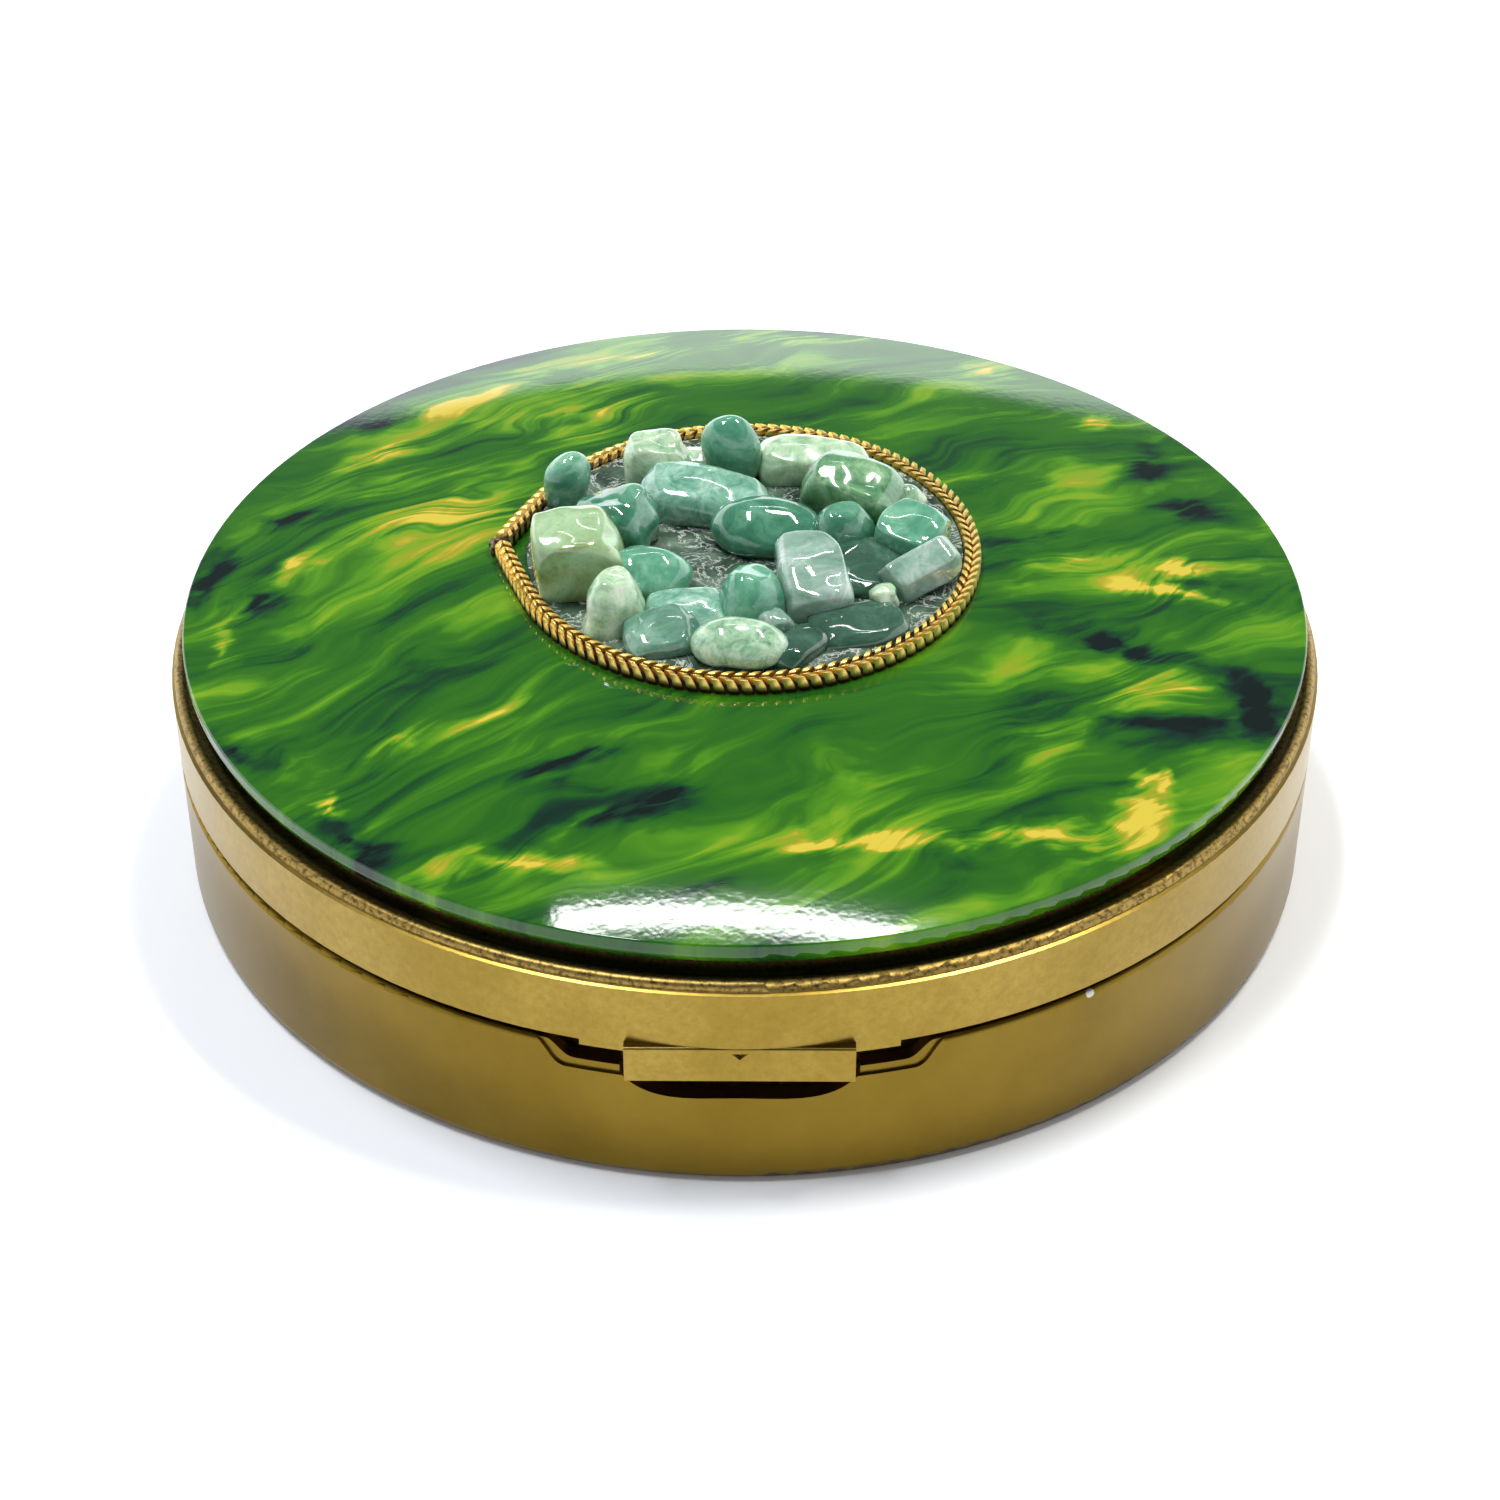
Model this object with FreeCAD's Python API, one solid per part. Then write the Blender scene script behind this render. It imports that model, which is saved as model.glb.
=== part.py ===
import FreeCAD
import Part
import math
import os
import random

# Round two-inch pill box in drawn brass with a hinged lid. The lid carries a marbled stone plate and,
# on top of that, a chain-edged medallion filled with tumbled stone chips.
# Millimetres. +Z up, origin at the centre of the base's underside, clasp towards -Y, hinge at +Y.

# Case
case_radius = 25.4
seam_height = 6.65
shoulder_height = 10.05
groove_depth = 0.14
sheet = 0.60
corner_radius = 0.60

# Base
base_inner_radius = 24.65
base_rim = 6.55
rim_round = 0.28

# Collar that guides the lid
collar_thickness = 0.45
collar_top = 8.0
collar_bottom = 1.15

# Lid
lid_inner_radius = 24.80
lid_edge = 6.66
lid_edge_rise = 0.24
skirt_drop = 0.05
skirt_half_width = 6.25

# Clasp tab, its notch in the base and the two fingernail dips beside it
tab_half_width = 4.50
tab_face = 25.43
tab_thickness = 0.62
tab_bottom = 5.45
tab_crease = 7.10
tab_round = 0.12
notch_half_width = 4.70
notch_side = 5.45
notch_shoulder = 4.92
notch_bottom = 4.52
dip_far_x = 7.8
dip_depth = 0.80
dip_slope = 1.35
dip_coin = 0.42
dip_coin_depth = 0.12
pip_height = 6.72

# Hinge
hinge_axis_y = case_radius + 0.95
hinge_axis_z = seam_height
knuckle_radius = 0.85
pin_radius = 0.40
pin_clearance = 0.05
knuckle_gap = 0.10
middle_half_length = 1.5
hinge_half_length = 4.5
leaf_thickness = 0.35
leaf_reach = 3.4
leaf_gap = 0.75

# Marbled plate
cement_top = shoulder_height + 0.10
foot_radius = 23.5
plate_underside = 10.58
plate_radius = 24.75
plate_edge_in = 0.55
plate_edge_rise = 0.75
crease_height = 11.67
crease_radius = 24.68
dome_top = 13.50

# Medallion
chain_width = 0.80
chain_path_radius = 10.05
chain_stretch = 1.03
chain_center_y = 0.45
chain_bottom = 13.05
chain_top = 13.92
chain_bevel = 0.20
join_angle = 178.0
join_reach = 0.80
join_spread = 24.0
join_half_gap = 1.2
solder_radius = 0.50
bed_radius = chain_path_radius - chain_width / 2 - 0.02
bed_top = 13.72
stone_foot = 13.56

# Tumbled stones: node, place x and y, length, width, height, turn in degrees,
# lean of the top in x and y, and how much the top narrows.
stones = [
    ("stone_pale_block", -7.5, -2.5, 4.0, 3.1, 3.2, 8, 0.1, 0.1, 0.80),
    ("stone_standing_oval", -8.1, 4.1, 2.0, 1.7, 2.4, 20, 0.0, 0.1, 0.55),
    ("stone_ridged_teal", -5.4, 0.9, 3.2, 2.9, 2.3, -25, -0.2, 0.2, 0.50),
    ("stone_smooth_oval", -4.2, -3.0, 3.4, 2.6, 1.8, -8, 0.0, 0.0, 0.70),
    ("stone_mossy_wedge", -5.7, -6.0, 2.9, 2.6, 2.5, 30, 0.0, 0.2, 0.45),
    ("stone_grey_slab", -3.5, -7.3, 2.8, 2.5, 1.2, 15, -0.1, 0.1, 0.65),
    ("stone_mossy_oval", -0.2, -8.1, 3.6, 2.2, 1.5, -6, 0.0, 0.0, 0.65),
    ("stone_flat_teal", -2.3, -5.2, 3.1, 2.2, 0.9, 10, 0.0, 0.0, 0.75),
    ("stone_teal_dome", 0.3, -4.5, 2.9, 2.8, 1.9, 20, 0.1, 0.1, 0.60),
    ("stone_large_oval", 0.9, 0.9, 4.4, 2.9, 1.7, -5, 0.0, 0.0, 0.80),
    ("stone_long_streaky", -1.7, 3.7, 5.2, 2.6, 1.4, -12, 0.0, 0.1, 0.60),
    ("stone_white_green", -4.1, 6.6, 2.5, 2.1, 1.8, 12, 0.0, 0.0, 0.80),
    ("stone_small_white", -2.4, 7.4, 1.6, 1.2, 0.8, -10, 0.0, 0.0, 0.70),
    ("stone_upright_teal", -0.6, 6.5, 2.4, 1.7, 2.9, -15, -0.5, 0.1, 0.60),
    ("stone_pale_long", 3.1, 6.9, 4.3, 2.1, 1.3, -4, 0.0, 0.0, 0.60),
    ("stone_mossy_rock", 4.8, 3.8, 3.7, 2.8, 2.0, -18, -0.1, 0.0, 0.45),
    ("stone_small_pale", 7.2, 4.0, 1.6, 1.3, 0.9, 0, 0.0, 0.0, 0.70),
    ("stone_two_tone", 7.4, 0.5, 2.6, 2.2, 1.6, -20, 0.0, 0.1, 0.65),
    ("stone_dark_triangle", 4.3, 1.0, 2.8, 2.1, 1.4, 10, 0.1, 0.1, 0.45),
    ("stone_clear_block", 2.9, -3.4, 2.8, 4.0, 2.0, 14, 0.0, 0.0, 0.80),
    ("stone_clear_crystal", 7.6, -2.8, 3.4, 1.9, 1.7, 32, 0.1, 0.1, 0.60),
    ("stone_dark_flat", 5.3, -1.4, 2.6, 3.2, 0.7, 0, 0.0, 0.0, 0.80),
    ("stone_front_flat", 5.1, -6.2, 3.8, 2.7, 0.7, 16, 0.0, 0.0, 0.75),
    ("stone_crumb_right", 6.0, -4.3, 1.0, 0.9, 1.0, 25, 0.0, 0.0, 0.60),
    ("stone_crumb_front", 1.4, -6.4, 1.0, 1.2, 1.0, 40, 0.0, 0.0, 0.55),
    ("stone_front_sliver", 2.4, -7.8, 1.4, 2.4, 1.0, -28, 0.0, 0.0, 0.40),
]


def vec(x, y, z):
    return FreeCAD.Vector(x, y, z)


def save(name, shape):
    if not shape.isValid():
        shape.fix(1e-4, 1e-5, 1e-3)
    shape.exportStep("parts/" + name + ".step")
    print(name, len(shape.Solids), "solid", round(shape.Volume, 2), "mm3", shape.isValid())


def profile(start, *moves):
    # Closed outline in the radius-height plane. A move is a point for a line,
    # or a pair (point on the arc, end point) for an arc.
    edges = []
    here = vec(start[0], 0, start[1])
    for move in moves:
        if isinstance(move[0], tuple):
            middle = vec(move[0][0], 0, move[0][1])
            end = vec(move[1][0], 0, move[1][1])
            edges.append(Part.Arc(here, middle, end).toShape())
        else:
            end = vec(move[0], 0, move[1])
            edges.append(Part.makeLine(here, end))
        here = end
    edges.append(Part.makeLine(here, vec(start[0], 0, start[1])))
    return Part.Face(Part.Wire(edges))


def turned(face):
    return face.revolve(vec(0, 0, 0), vec(0, 0, 1), 360)


def round_corner(center, radius, degrees):
    # Point on a quarter round, for the middle of an arc.
    angle = math.radians(degrees)
    return (center[0] + radius * math.cos(angle), center[1] + radius * math.sin(angle))


def along_x(radius, x_from, x_to, y, z):
    return Part.makeCylinder(radius, x_to - x_from, vec(x_from, y, z), vec(1, 0, 0))


def box(x_from, x_to, y_from, y_to, z_from, z_to):
    return Part.makeBox(x_to - x_from, y_to - y_from, z_to - z_from, vec(x_from, y_from, z_from))


def dome_height(radius):
    drop = dome_top - crease_height
    sphere = (crease_radius ** 2 + drop ** 2) / (2 * drop)
    return dome_top - sphere + math.sqrt(sphere ** 2 - radius ** 2)


# Base

def dip_tool(side, spread):
    # A fingernail dip: its rim slopes down in an S and then runs level to the notch.
    start = -case_radius - 1
    top = base_rim + 0.6
    rim = base_rim + 0.02
    far = dip_far_x + spread
    floor = base_rim - dip_depth - spread
    near = notch_half_width - 0.3
    points = [(far, rim), (far - 0.25 * dip_slope, rim - 0.12 * (rim - floor)),
              (far - 0.75 * dip_slope, floor + 0.12 * (rim - floor)), (far - dip_slope, floor)]
    slope = Part.BSplineCurve()
    slope.interpolate([vec(side * x, start, z) for x, z in points])
    corners = [(far - dip_slope, floor), (near, floor), (near, top), (far, top), (far, rim)]
    corners = [vec(side * x, start, z) for x, z in corners]
    lines = [Part.makeLine(a, b) for a, b in zip(corners, corners[1:])]
    return Part.Face(Part.Wire([slope.toShape()] + lines)).extrude(vec(0, 6, 0))


def base_shell():
    rim_center = (case_radius - rim_round, base_rim - rim_round)
    foot_center = (case_radius - corner_radius, corner_radius)
    inner = 0.5
    inner_center = (base_inner_radius - inner, sheet + inner)
    cup = turned(profile(
        (0, 0),
        (case_radius - corner_radius, 0),
        (round_corner(foot_center, corner_radius, -45), (case_radius, corner_radius)),
        (case_radius, base_rim - rim_round),
        (round_corner(rim_center, rim_round, 45), (case_radius - rim_round, base_rim)),
        (base_inner_radius, base_rim),
        (base_inner_radius, sheet + inner),
        (round_corner(inner_center, inner, -45), (base_inner_radius - inner, sheet)),
        (0, sheet)))
    # Round each dip the outside of the wall is coined in a little, as a soft step.
    core = Part.makeCylinder(case_radius - dip_coin_depth, 10)
    for side in (-1, 1):
        cup = cup.cut(dip_tool(side, 0))
        cup = cup.cut(dip_tool(side, dip_coin).cut(core))
    return cup.cut(notch_tool())


def notch_tool():
    # The notch under the tab has a bowed floor with rounded corners.
    start = -case_radius - 1
    half = notch_half_width
    bow = Part.BSplineCurve()
    bow.interpolate([vec(x, start, z) for x, z in (
        (-half, notch_side), (-0.88 * half, notch_shoulder), (0, notch_bottom),
        (0.88 * half, notch_shoulder), (half, notch_side))])
    corners = [vec(half, start, notch_side), vec(half, start, base_rim + 1),
               vec(-half, start, base_rim + 1), vec(-half, start, notch_side)]
    lines = [Part.makeLine(a, b) for a, b in zip(corners, corners[1:])]
    return Part.Face(Part.Wire([bow.toShape()] + lines)).extrude(vec(0, 4, 0))


def inner_collar():
    outer = base_inner_radius
    inner = outer - collar_thickness
    ring = turned(profile(
        (inner, collar_bottom),
        (outer, collar_bottom),
        (outer, collar_top - 0.2),
        (outer - 0.06, collar_top),
        (inner + 0.06, collar_top),
        (inner, collar_top - 0.1)))
    # Round window that the tab's pip snaps into.
    window = Part.makeCylinder(0.6, 3, vec(0, -outer - 1, pip_height), vec(0, 1, 0))
    return ring.cut(window)


# Hinge

def leaf(direction):
    # Leaf on the outside of the wall, bent out to the hinge axis.
    # direction is -1 for the base's leaf and 1 for the lid's.
    near = hinge_axis_z + direction * leaf_gap
    far = hinge_axis_z + direction * leaf_reach
    plate = box(-hinge_half_length, hinge_half_length, case_radius - 0.6, case_radius + leaf_thickness,
                min(near, far), max(near, far))
    corners = [vec(0, case_radius, near),
               vec(0, hinge_axis_y, hinge_axis_z + direction * pin_radius * 1.3),
               vec(0, hinge_axis_y, hinge_axis_z + direction * knuckle_radius),
               vec(0, case_radius + leaf_thickness, near + direction * 0.9),
               vec(0, case_radius, near + direction * 0.9)]
    web = Part.Face(Part.makePolygon(corners + corners[:1]))
    return plate, web


def hinge_leaf_base():
    plate, web = leaf(-1)
    solid = plate
    for x_from, x_to in ((-hinge_half_length, -middle_half_length - knuckle_gap),
                         (middle_half_length + knuckle_gap, hinge_half_length)):
        knuckle = along_x(knuckle_radius, x_from, x_to, hinge_axis_y, hinge_axis_z)
        arm = web.extrude(vec(x_to - x_from, 0, 0))
        arm.translate(vec(x_from, 0, 0))
        solid = solid.fuse([knuckle, arm])
    solid = solid.cut(Part.makeCylinder(case_radius, 20))
    bore = along_x(pin_radius, -hinge_half_length - 1, hinge_half_length + 1, hinge_axis_y, hinge_axis_z)
    return solid.cut(bore).removeSplitter()


def hinge_leaf_lid():
    plate, web = leaf(1)
    half = middle_half_length
    knuckle = along_x(knuckle_radius, -half, half, hinge_axis_y, hinge_axis_z)
    arm = web.extrude(vec(2 * half, 0, 0))
    arm.translate(vec(-half, 0, 0))
    solid = plate.fuse([knuckle, arm]).cut(Part.makeCylinder(case_radius, 20))
    bore = along_x(pin_radius + pin_clearance, -half - 1, half + 1, hinge_axis_y, hinge_axis_z)
    return solid.cut(bore).removeSplitter()


def hinge_pin():
    return along_x(pin_radius, -hinge_half_length - 0.1, hinge_half_length + 0.1, hinge_axis_y, hinge_axis_z)


# Lid

def clasp_tab():
    # A flat plate against the round wall, so its upper corners stand proud as small ledges.
    inner_y = -tab_face + tab_thickness
    plate = box(-tab_half_width, tab_half_width, -tab_face, inner_y, tab_bottom, tab_crease)
    rounded = [edge for edge in plate.Edges
               if abs(edge.CenterOfMass.y + tab_face) < 0.01 and edge.CenterOfMass.z > tab_crease - 0.01]
    return plate.makeFillet(tab_round, rounded)


def lid_shell():
    inner = 0.5
    ceiling = shoulder_height - sheet
    inner_center = (lid_inner_radius - inner, ceiling - inner)
    shell = turned(profile(
        (lid_inner_radius, lid_edge),
        (case_radius, lid_edge),
        (case_radius, shoulder_height - 0.34),
        (case_radius - groove_depth, shoulder_height - 0.29),
        (case_radius - groove_depth, shoulder_height - 0.22),
        ((case_radius - 0.24, shoulder_height + 0.05), (case_radius - 0.62, shoulder_height - 0.02)),
        (case_radius - 0.95, shoulder_height - 0.16),
        ((case_radius - 1.30, shoulder_height - 0.24), (case_radius - 1.70, shoulder_height)),
        (0, shoulder_height),
        (0, ceiling),
        (lid_inner_radius - inner, ceiling),
        (round_corner(inner_center, inner, 45), (lid_inner_radius, ceiling - inner))))
    # The lid's edge rises a little from the hinge to the clasp, with a short skirt each side of the tab.
    reach = case_radius + 1
    corners = [vec(-reach, reach, lid_edge - 1), vec(-reach, reach, lid_edge),
               vec(-reach, -reach, lid_edge + lid_edge_rise), vec(-reach, -reach, lid_edge - 1)]
    wedge = Part.Face(Part.makePolygon(corners + corners[:1])).extrude(vec(2 * reach, 0, 0))
    shell = shell.cut(wedge)
    skirt_top = lid_edge + lid_edge_rise + 0.2
    skirt = turned(profile(
        (lid_inner_radius, lid_edge - skirt_drop),
        (case_radius, lid_edge - skirt_drop),
        (case_radius, skirt_top),
        (lid_inner_radius, skirt_top)))
    skirt = skirt.common(box(-skirt_half_width, skirt_half_width, -reach, 0, 0, 20))
    shell = shell.fuse([skirt, clasp_tab()])
    # The inside stays round above the tab, where the collar slides.
    inside = Part.makeCylinder(lid_inner_radius, ceiling - inner - tab_crease, vec(0, 0, tab_crease))
    shell = shell.cut(inside)
    # Punched pip: a small three-cornered dent outside and a low bump inside.
    dent = [vec(-0.45, -tab_face - 0.1, pip_height + 0.16), vec(0.45, -tab_face - 0.1, pip_height + 0.16),
            vec(0, -tab_face - 0.1, pip_height - 0.26)]
    dent_deep = [vec(p.x * 0.3, -tab_face + 0.16, pip_height + (p.z - pip_height) * 0.3) for p in dent]
    punch = Part.makeLoft([Part.makePolygon(dent + dent[:1]), Part.makePolygon(dent_deep + dent_deep[:1])],
                          True, True)
    bump = Part.makeCone(0.42, 0.25, 0.20, vec(0, -tab_face + tab_thickness - 0.1, pip_height), vec(0, 1, 0))
    return shell.cut(punch).fuse(bump).removeSplitter()


def plate_cement():
    return Part.makeCylinder(foot_radius - 0.3, cement_top - shoulder_height, vec(0, 0, shoulder_height))


def marbled_plate():
    crease = (crease_radius, crease_height)
    middle = crease_radius / 2
    return turned(profile(
        (0, cement_top),
        (foot_radius, cement_top),
        (foot_radius, plate_underside),
        (plate_radius - plate_edge_in, plate_underside),
        ((plate_radius - 0.29 * plate_edge_in, plate_underside + 0.29 * plate_edge_rise),
         (plate_radius, plate_underside + plate_edge_rise)),
        (plate_radius, crease_height - 0.12),
        ((plate_radius - 0.015, crease_height - 0.05), crease),
        ((middle, dome_height(middle)), (0, dome_top))))


# Medallion

def chain_point(degrees, grow):
    # The chain is a slightly oval ring drawn out to a point on the -X side, where its two ends meet.
    away = abs(degrees - join_angle) / join_spread
    reach = 0
    if away < 1:
        reach = join_reach * (1 - away) ** 2
    radius = chain_path_radius + reach + grow
    angle = math.radians(degrees)
    y = chain_center_y + chain_stretch * radius * math.sin(angle)
    return vec(radius * math.cos(angle), y, chain_bottom)


def chain_side(grow, height):
    start = join_angle + join_half_gap
    turn = 360 - 2 * join_half_gap
    near = [0, 4, 8, 12, 17, 24, 40]
    steps = near + list(range(60, 310, 20)) + [turn - d for d in reversed(near)]
    points = [chain_point((start + step) % 360, grow) + vec(0, 0, height) for step in steps]
    curve = Part.BSplineCurve()
    curve.interpolate(points)
    return curve.toShape(), points[0], points[-1]


def chain_wire(half_width, height):
    outer, outer_from, outer_to = chain_side(half_width, height)
    inner, inner_from, inner_to = chain_side(-half_width, height)
    ends = [Part.makeLine(outer_to, inner_to), Part.makeLine(inner_from, outer_from)]
    return Part.Wire(Part.sortEdges([outer, inner] + ends)[0])


def chain_ring(plate):
    # The plaited chain's envelope: a flat-sided band with its two upper edges bevelled.
    half = chain_width / 2
    tall = chain_top - chain_bottom
    layers = [(half, 0), (half, tall - chain_bevel), (half - chain_bevel, tall)]
    return Part.makeLoft([chain_wire(wide, height) for wide, height in layers], True, True).cut(plate)


def chain_solder_join(plate, ring):
    tip = chain_point(join_angle, 0)
    blob = Part.makeSphere(solder_radius, vec(tip.x - 0.05, tip.y, chain_bottom + 0.5))
    return blob.cut(plate).cut(ring)


def stone(index, entry, others):
    x, y, length, width, height, turn, lean_x, lean_y, top = entry[1:]
    dice = random.Random(index)
    corners = 8
    layers = [(0.0, 0.92, 0.0), (0.30, 1.0, 0.25), (0.75, 0.35 + 0.65 * top, 0.8), (1.0, 0.75 * top, 1.0)]
    knocks = [dice.uniform(1.0, 1.18) for _ in range(corners)]
    wires = []
    for rise, spread, lean in layers:
        points = []
        for k in range(corners):
            angle = 2 * math.pi * k / corners + math.radians(turn)
            out = spread * knocks[k] / 2
            along = length * out * math.cos(angle - math.radians(turn))
            across = width * out * math.sin(angle - math.radians(turn))
            turn_cos = math.cos(math.radians(turn))
            turn_sin = math.sin(math.radians(turn))
            points.append(vec(x + along * turn_cos - across * turn_sin + lean * lean_x,
                              y + along * turn_sin + across * turn_cos + lean * lean_y,
                              stone_foot + rise * height))
        wires.append(Part.makePolygon(points + points[:1]))
    chip = Part.makeLoft(wires, True, True)
    near = [other for other in others if other.BoundBox.intersect(chip.BoundBox)]
    for other in near:
        chip = chip.cut(other)
    return max(chip.Solids, key=lambda solid: solid.Volume)


def medallion_bed(plate, chips):
    center = vec(0, chain_center_y, chain_bottom)
    long_way = center + vec(0, chain_stretch * bed_radius, 0)
    short_way = center + vec(bed_radius, 0, 0)
    oval = Part.Ellipse(long_way, short_way, center)
    disc = Part.Face(Part.Wire(oval.toShape())).extrude(vec(0, 0, bed_top - chain_bottom))
    bed = disc.cut(plate)
    for chip in chips:
        bed = bed.cut(chip)
    return max(bed.Solids, key=lambda solid: solid.Volume)


os.makedirs("parts", exist_ok=True)

save("base_shell", base_shell())
save("inner_collar", inner_collar())
save("hinge_leaf_base", hinge_leaf_base())
save("hinge_pin", hinge_pin())
save("lid_shell", lid_shell())
save("hinge_leaf_lid", hinge_leaf_lid())
save("plate_cement", plate_cement())

plate = marbled_plate()
save("marbled_plate", plate)
ring = chain_ring(plate)
save("chain_ring", ring)
join = chain_solder_join(plate, ring)
save("chain_solder_join", join)

chips = []
for index, entry in enumerate(stones):
    chip = stone(index, entry, chips + [ring, join])
    save(entry[0], chip)
    chips.append(chip)
save("medallion_bed", medallion_bed(plate, chips))
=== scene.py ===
import bpy
import math
import random
from mathutils import Matrix, Vector


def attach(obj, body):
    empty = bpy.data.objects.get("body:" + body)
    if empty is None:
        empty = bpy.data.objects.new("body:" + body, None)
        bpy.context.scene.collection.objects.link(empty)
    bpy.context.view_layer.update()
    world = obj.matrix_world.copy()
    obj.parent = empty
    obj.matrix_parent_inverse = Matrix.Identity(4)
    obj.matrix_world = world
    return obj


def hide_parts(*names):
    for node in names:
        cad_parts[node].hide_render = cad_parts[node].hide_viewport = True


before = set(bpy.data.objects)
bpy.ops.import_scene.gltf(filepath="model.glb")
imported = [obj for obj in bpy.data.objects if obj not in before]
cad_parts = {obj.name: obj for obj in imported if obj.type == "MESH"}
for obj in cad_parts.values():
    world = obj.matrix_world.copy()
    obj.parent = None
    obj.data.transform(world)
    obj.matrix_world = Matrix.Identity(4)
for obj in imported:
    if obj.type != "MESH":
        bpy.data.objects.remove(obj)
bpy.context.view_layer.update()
mm = 0.001

# The pill box stands on a pale floor. The case, hinge and marbled plate are the CAD nodes with
# their finishes; the chain, the resin bed and the tumbled chips are modelled here.


def linear(hexColor):
    channels = [int(hexColor[i:i + 2], 16) / 255 for i in (1, 3, 5)]
    return [c / 12.92 if c <= 0.04045 else ((c + 0.055) / 1.055) ** 2.4 for c in channels] + [1]


def newMaterial(name):
    material = bpy.data.materials.new(name)
    material.use_nodes = True
    material.node_tree.nodes.clear()
    return material


def addNode(tree, kind, settings=None, inputs=None):
    # settings are the node's own properties, and stops fills a color ramp;
    # an input is a socket's value or the output that is linked to it
    node = tree.nodes.new(kind)
    for key, value in (settings or {}).items():
        if key == "stops":
            bar = node.color_ramp.elements
            bar.remove(bar[1])
            for place, hexColor in value[1:]:
                bar.new(place).color = linear(hexColor)
            bar[0].position = value[0][0]
            bar[0].color = linear(value[0][1])
        else:
            setattr(node, key, value)
    for key, value in (inputs or {}).items():
        if isinstance(value, bpy.types.NodeSocket):
            tree.links.new(value, node.inputs[key])
        else:
            node.inputs[key].default_value = value
    return node


def paint(nodeName, material):
    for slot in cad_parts[nodeName].material_slots:
        slot.material = material


def clearSelection():
    if bpy.context.object and bpy.context.object.mode != "OBJECT":
        bpy.ops.object.mode_set(mode="OBJECT")
    bpy.ops.object.select_all(action="DESELECT")


def makeActive(piece):
    clearSelection()
    piece.select_set(True)
    bpy.context.view_layer.objects.active = piece


def pickVerts(piece, test):
    # selects the vertices that pass the test, from edit mode and back to it
    bpy.ops.mesh.select_all(action="DESELECT")
    bpy.ops.object.mode_set(mode="OBJECT")
    for vert in piece.data.vertices:
        vert.select = test(vert.co)
    bpy.ops.object.mode_set(mode="EDIT")


def pickFaces(piece, test):
    bpy.ops.mesh.select_all(action="DESELECT")
    bpy.ops.object.mode_set(mode="OBJECT")
    for face in piece.data.polygons:
        face.select = test(face.center, face.normal)
    bpy.ops.object.mode_set(mode="EDIT")


def applyModifier(piece, kind, settings):
    modifier = piece.modifiers.new(kind.lower(), kind)
    for key, value in settings.items():
        setattr(modifier, key, value)
    makeActive(piece)
    bpy.ops.object.modifier_apply(modifier=modifier.name)


def settle(piece, place, turn=(0, 0, 0)):
    # turns the piece, puts it in its place and brings it from millimetres to metres
    makeActive(piece)
    piece.rotation_euler = [math.radians(a) for a in turn]
    bpy.ops.object.transform_apply(location=False, rotation=True, scale=True)
    piece.location = Vector(place) * mm
    piece.scale = (mm, mm, mm)
    bpy.ops.object.transform_apply(location=True, rotation=False, scale=True)


def nameAndSmooth(piece, name):
    piece.name = name
    piece.data.name = name
    makeActive(piece)
    bpy.ops.object.shade_smooth()


# Camera, floor and light

cameraSetup = {"at": (0.0010, -0.11366, 0.08496), "turn": (54.20, 0, 0.39), "lens": 72.9}
floorSetup = {"size": 6.0, "color": "#F4F5F6"}
lightSetup = {
    "key": {"at": (0.30, 0.22, 1.0), "size": (0.34, 0.07), "power": 7.0, "color": "#FFFCF4",
            "glints": True},
    "top": {"at": (-0.25, 0.02, 1.0), "size": (0.5, 0.14), "power": 8.0, "color": "#F4F8FF",
            "glints": True},
    "strip": {"at": (0.036, 0.450, 0.680), "size": (0.300, 0.014), "power": 0.38, "color": "#FFFFFF",
              "glints": True},
}
# The backdrop is bright up to a height that rises to both sides; the room is dim above it and
# dimmer still towards the camera.
worldSetup = {"backdrop": "#F6F9FF", "room": "#4E5257", "edge": 0.262, "rise": 0.5, "strength": 2.3,
              "front": 0.50}


def makeCamera():
    data = bpy.data.cameras.new("camera")
    data.lens = cameraSetup["lens"]
    data.sensor_width = 36
    data.clip_start = 0.005
    camera = bpy.data.objects.new("camera", data)
    camera.location = cameraSetup["at"]
    camera.rotation_euler = [math.radians(a) for a in cameraSetup["turn"]]
    bpy.context.scene.collection.objects.link(camera)
    bpy.context.scene.camera = camera


def makeFloor():
    clearSelection()
    bpy.ops.mesh.primitive_plane_add(size=floorSetup["size"], location=(0, 0, 0))
    floor = bpy.context.object
    floor.name = "floor"
    material = newMaterial("white paper sweep")
    tree = material.node_tree
    shader = addNode(tree, "ShaderNodeBsdfPrincipled", {},
                     {"Base Color": linear(floorSetup["color"]), "Roughness": 0.9, "Specular IOR Level": 0.1})
    addNode(tree, "ShaderNodeOutputMaterial", {}, {"Surface": shader.outputs[0]})
    floor.data.materials.append(material)


def makeLights():
    for name, setup in lightSetup.items():
        data = bpy.data.lights.new(name, "AREA")
        data.shape = "RECTANGLE"
        data.size, data.size_y = setup["size"]
        data.energy = setup["power"]
        data.color = linear(setup["color"])[:3]
        lamp = bpy.data.objects.new(name, data)
        lamp.location = setup["at"]
        lamp.rotation_euler = (-Vector(setup["at"])).to_track_quat("-Z", "Y").to_euler()
        lamp.visible_glossy = setup["glints"]
        bpy.context.scene.collection.objects.link(lamp)


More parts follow.
